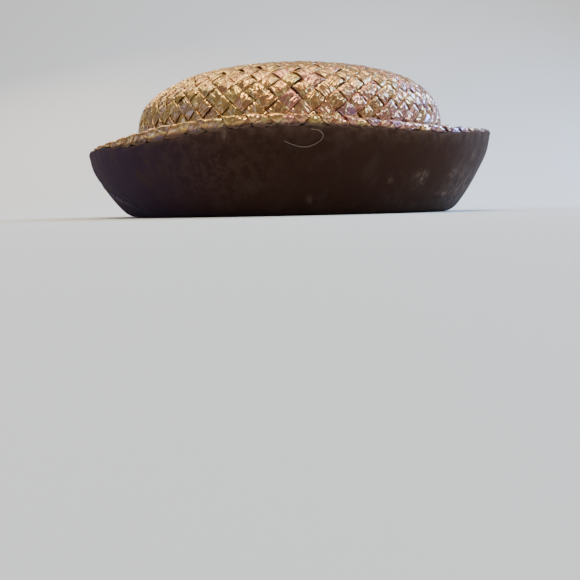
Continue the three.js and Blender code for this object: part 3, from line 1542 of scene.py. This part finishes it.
    def _outer(self, angle: Array) -> tuple[Array, Array]:
        """The outer way: a rounded upper edge, the face, the flat fold and the turned-in edge.

        Args:
            angle: the way round the hat.

        Returns:
            The run along the profile and the depth behind the face.
        """
        top = self._top(angle)
        fold = self.form.fold_width(angle)
        above, behind = np.array(self.upper_edge).T
        face = top * np.linspace(1.0, 0.0, self.face_steps)
        lip = np.linspace(0.0, 1.0, self.fold_steps)
        flat = -fold * lip[1:-1]
        turned = -fold - self.turned_bulge * np.sin(lip * math.pi / 2)
        rise = self.turned_in * lip**self.turned_power
        run = np.concatenate([top + above, face, flat, turned], axis=1)
        hollow = self._relief(angle, face, top)
        depth = np.concatenate([behind + 0 * top, hollow, 0 * flat, rise + 0 * fold], axis=1)
        return run, depth

    def _inner(self, angle: Array) -> tuple[Array, Array]:
        """The inner way back, behind the face by the wall.

        Args:
            angle: the way round the hat.

        Returns:
            The run along the profile and the depth behind the face.
        """
        back = (self._top(angle) + self.back_above) * np.linspace(0.0, 1.0, self.back_steps)
        tucked = np.array(self.tuck_places) - self.form.fold_width(angle)
        tuck_depth = np.array([self.turned_in, self.tuck_depth, self.wall])
        depth = np.concatenate([tuck_depth + 0 * tucked, self.wall + 0 * back], axis=1)
        return np.concatenate([tucked, back], axis=1), depth

    def _relief(self, angle: Array, run: Array, top: Array) -> Array:
        """How far the face sinks: slow swells, puckers under the border and one soft crease.

        A swell is a sum of sines round the hat and up the face, puckers fade down from the upper edge, and
        the crease is a bell across a slanted line, with a lifted one below it.

        Args:
            angle: the way round the hat.
            run: millimetres up the face.
            top: the face's height.

        Returns:
            The depth behind the smooth face.
        """
        phases = np.random.default_rng(self.seed).random((len(self.swell_waves), 2)) * TURN
        swell = np.zeros_like(run)
        for k, (waves, (round_phase, up_phase)) in enumerate(zip(self.swell_waves, phases)):
            wave = np.cos(waves * angle + round_phase) * np.cos(run / self.swell_height + up_phase)
            swell = swell + wave / (1 + self.swell_fall * k)
        swell = self.swell * swell * eased(run / self.swell_foot) * eased((top - run) / self.swell_head)
        gathers, drift, uneven = self.pucker_waves
        pucker = np.cos(gathers * angle + self.pucker_drift * np.sin(drift * angle))
        pucker = pucker * (1 + self.pucker_uneven * (np.sin(uneven * angle + self.pucker_phase) - 1))
        pucker = self.pucker * pucker * np.exp(-(top - run) / self.pucker_reach)
        lip = self.lip_share * self._crease_bell(angle, run, self.lip_off)
        groove = self._crease_bell(angle, run, 0.0) - lip
        return swell + pucker + self.crease_depth * groove * eased(run / self.crease_foot)

    def _crease_bell(self, angle: Array, run: Array, below: float) -> Array:
        """A bell across the crease's slanted line, fading along it.

        Args:
            angle: the way round the hat.
            run: millimetres up the face.
            below: how far below the line the bell's middle lies, in widths of the crease.

        Returns:
            The bell, from 0 to 1.
        """
        around = self._around(angle, self.crease_angle_deg)
        off_line = (run - self.crease_rise + self.crease_slope * around) / self.crease_width
        return np.exp(-((off_line + below) ** 2) - (around / self.crease_reach) ** 2)


@dataclass(frozen=True)
class ThreadPoint:
    """One point of the loose thread: millimetres right of the front's middle, and below the velvet's edge."""

    right: float
    below: float


@dataclass
class LooseThread:
    """A loose end of sewing thread, curled on the front of the velvet."""

    form: HatForm
    radius: float = 0.1
    sides: int = 8
    steps: int = 90
    stand_off: float = 0.6
    front: float = -math.pi / 2
    points: tuple[ThreadPoint, ...] = (
        ThreadPoint(6.6, 0.8),
        ThreadPoint(9.0, 1.2),
        ThreadPoint(10.6, 3.0),
        ThreadPoint(9.8, 5.4),
        ThreadPoint(6.8, 7.6),
        ThreadPoint(4.0, 8.1),
        ThreadPoint(1.0, 7.2),
        ThreadPoint(-1.8, 5.6),
    )
    name: str = "loose_thread"

    def build(self, material: bpy.types.Material) -> bpy.types.Object:
        """Makes the thread: a circle carried along a smooth line on the velvet.

        Args:
            material: the thread's finish.

        Returns:
            The piece.
        """
        rows = np.array([(point.right, point.below) for point in self.points])
        line = spline(rows, np.linspace(0.0, 1.0, self.steps))
        angle = self.front + line[:, 0] / self.form.head_half_width
        run = self.form.profile_run(angle) - self.form.border(angle) - line[:, 1]
        centre, _, into = self.form.brim_frame(angle, run, -self.stand_off)
        side = unit(np.cross(unit(np.gradient(centre, axis=0)), into))
        turn = np.linspace(0.0, TURN, self.sides, endpoint=False)[None, :, None]
        ring = centre[:, None] + self.radius * (np.cos(turn) * side[:, None] + np.sin(turn) * -into[:, None])
        index = np.arange(self.steps * self.sides).reshape(self.steps, self.sides)
        quads = rings_joined(index)[:, [0, 3, 2, 1]]
        ends = np.stack([index[0], index[-1, ::-1]])
        uv = np.zeros((index.size, 2))
        return Surface(ring.reshape(-1, 3), [quads, ends], uv).to_object(self.name, material)


@dataclass(frozen=True)
class SoftBox:
    """One soft studio light."""

    name: str
    place_m: Rgb
    aim_m: Rgb
    size_m: tuple[float, float]
    power_w: float
    colour: Rgb


@dataclass
class Studio:
    """The pale floor with its sweep, the soft lights and the camera."""

    focal_px: float = 842.0
    frame_px: float = 580.0
    distance_m: float = 0.485
    aside_m: float = -0.0014
    eye_m: float = 0.004
    nearest_m: float = 0.002
    horizon_px: float = 207.0
    roll_deg: float = -1.2
    sensor_mm: float = 36.0
    level_m: tuple[float, ...] = (-3.0, -1.0, 0.0)
    sweep_start_m: float = 0.4
    sweep_radius_m: float = 1.6
    sweep_top_m: float = 3.2
    sweep_steps: int = 25
    floor_half_width_m: float = 3.5
    world: Rgb = (0.80, 0.84, 0.92)
    world_strength: float = 0.37
    boxes: tuple[SoftBox, ...] = (
        SoftBox("window", (0.95, -0.55, 0.95), (0.0, 0.0, 0.05), (0.34, 0.46), 9.0, (0.72, 0.88, 1.0)),
        SoftBox("sky", (1.05, 0.55, 0.75), (0.0, 0.0, 0.05), (0.56, 0.48), 30.0, (0.30, 0.54, 1.0)),
        SoftBox("lamp", (-0.2, -0.38, 1.3), (0.0, 0.0, 0.05), (0.34, 0.34), 10.0, (1.0, 0.84, 0.48)),
        SoftBox("back_left", (-0.55, 1.0, 0.75), (0.0, 0.0, 0.05), (0.5, 0.5), 5.0, (1.0, 0.82, 0.60)),
        SoftBox("top", (0.0, 0.3, 1.2), (0.0, 0.1, 0.0), (1.1, 0.7), 7.0, (1.0, 0.90, 0.70)),
        SoftBox("low_left", (-1.3, -0.6, 0.35), (0.0, 0.0, 0.03), (1.2, 0.6), 4.5, (0.34, 0.40, 1.0)),
        SoftBox("backdrop", (0.0, 0.5, 1.9), (0.0, 1.9, 0.7), (2.4, 0.5), 29.0, (1.0, 0.98, 0.96)),
    )

    def build(self) -> None:
        """Makes the floor, the lights, the world and the camera."""
        self._floor(FloorFinish().build())
        for box in self.boxes:
            self._light(box)
        self._world()
        self._camera()

    def _floor(self, material: bpy.types.Material) -> bpy.types.Object:
        """The floor: a level run, a quarter circle and an upright, carried from side to side.

        Args:
            material: the floor's finish.

        Returns:
            The floor.
        """
        turn = np.linspace(0.0, math.pi / 2, self.sweep_steps)
        centre = np.array([self.sweep_start_m, self.sweep_radius_m])
        bend = centre + self.sweep_radius_m * np.column_stack([np.sin(turn), -np.cos(turn)])
        level = [[y, 0.0] for y in self.level_m]
        upright = [[self.sweep_start_m + self.sweep_radius_m, self.sweep_top_m]]
        profile = np.concatenate([level, bend, upright])
        count = len(profile)
        x = np.repeat([-self.floor_half_width_m, self.floor_half_width_m], count)
        points = np.column_stack([x, np.tile(profile, (2, 1))]) / MM
        left = np.arange(count - 1)
        quads = np.stack([left, left + count, left + count + 1, left + 1], axis=-1)
        return Surface(points, [quads], np.zeros((len(points), 2))).to_object("floor", material)

    @staticmethod
    def _light(box: SoftBox) -> None:
        """Adds one area light, turned to its aim.

        Args:
            box: the light.
        """
        data = bpy.data.lights.new(box.name, "AREA")
        data.shape = "RECTANGLE"
        data.size, data.size_y = box.size_m
        data.energy = box.power_w
        data.color = box.colour
        light = bpy.data.objects.new(box.name, data)
        light.location = box.place_m
        light.rotation_euler = (Vector(box.aim_m) - Vector(box.place_m)).to_track_quat("-Z", "Y").to_euler()
        bpy.context.scene.collection.objects.link(light)

    def _world(self) -> None:
        """Lights the room evenly."""
        world = bpy.data.worlds.new("studio")
        world.use_nodes = True
        background = world.node_tree.nodes["Background"]
        background.inputs["Color"].default_value = (*self.world, 1.0)
        background.inputs["Strength"].default_value = self.world_strength
        bpy.context.scene.world = world

    def _camera(self) -> None:
        """Puts the camera just above the floor, looking along +Y, tipped to set the horizon on its row."""
        data = bpy.data.cameras.new("camera")
        data.sensor_width = self.sensor_mm
        data.lens = self.focal_px / self.frame_px * self.sensor_mm
        data.clip_start = self.nearest_m
        camera = bpy.data.objects.new("camera", data)
        tip = math.atan2(self.frame_px / 2 - self.horizon_px, self.focal_px)
        tipped = Matrix.Rotation(math.pi / 2 - tip, 4, "X")
        rolled = Matrix.Rotation(math.radians(self.roll_deg), 4, "Z")
        eye = Matrix.Translation((self.aside_m, -self.distance_m, self.eye_m))
        camera.matrix_world = eye @ tipped @ rolled
        bpy.context.scene.collection.objects.link(camera)
        bpy.context.scene.camera = camera


def fasten(piece: bpy.types.Object, node: str | None = None) -> None:
    """Fastens a piece to the frame.

    Args:
        piece: the piece.
        node: the solid that it stands for, if any.
    """
    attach(piece, BODY)
    if node is not None:
        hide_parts(node)
    LOG.info("%s: %d faces", piece.name, len(piece.data.polygons))


def main() -> None:
    """Loads the frame, dresses the hat and sets up the studio."""
    logging.basicConfig(level=logging.INFO, format="%(name)s: %(message)s")
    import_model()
    form = HatForm()
    plait = PlaitFinish().build()
    for piece in CrownPlait(form).build(plait):
        fasten(piece, "crown")
    fasten(BrimPlait(form).build(plait), "brim")
    facing = VelvetFacing(form)
    velvet = facing.build(VelvetFinish().build())
    fasten(velvet, "brim_facing")
    fasten(LooseThread(form).build(ThreadFinish().build()))
    Studio().build()


if __name__ == "__main__":
    main()
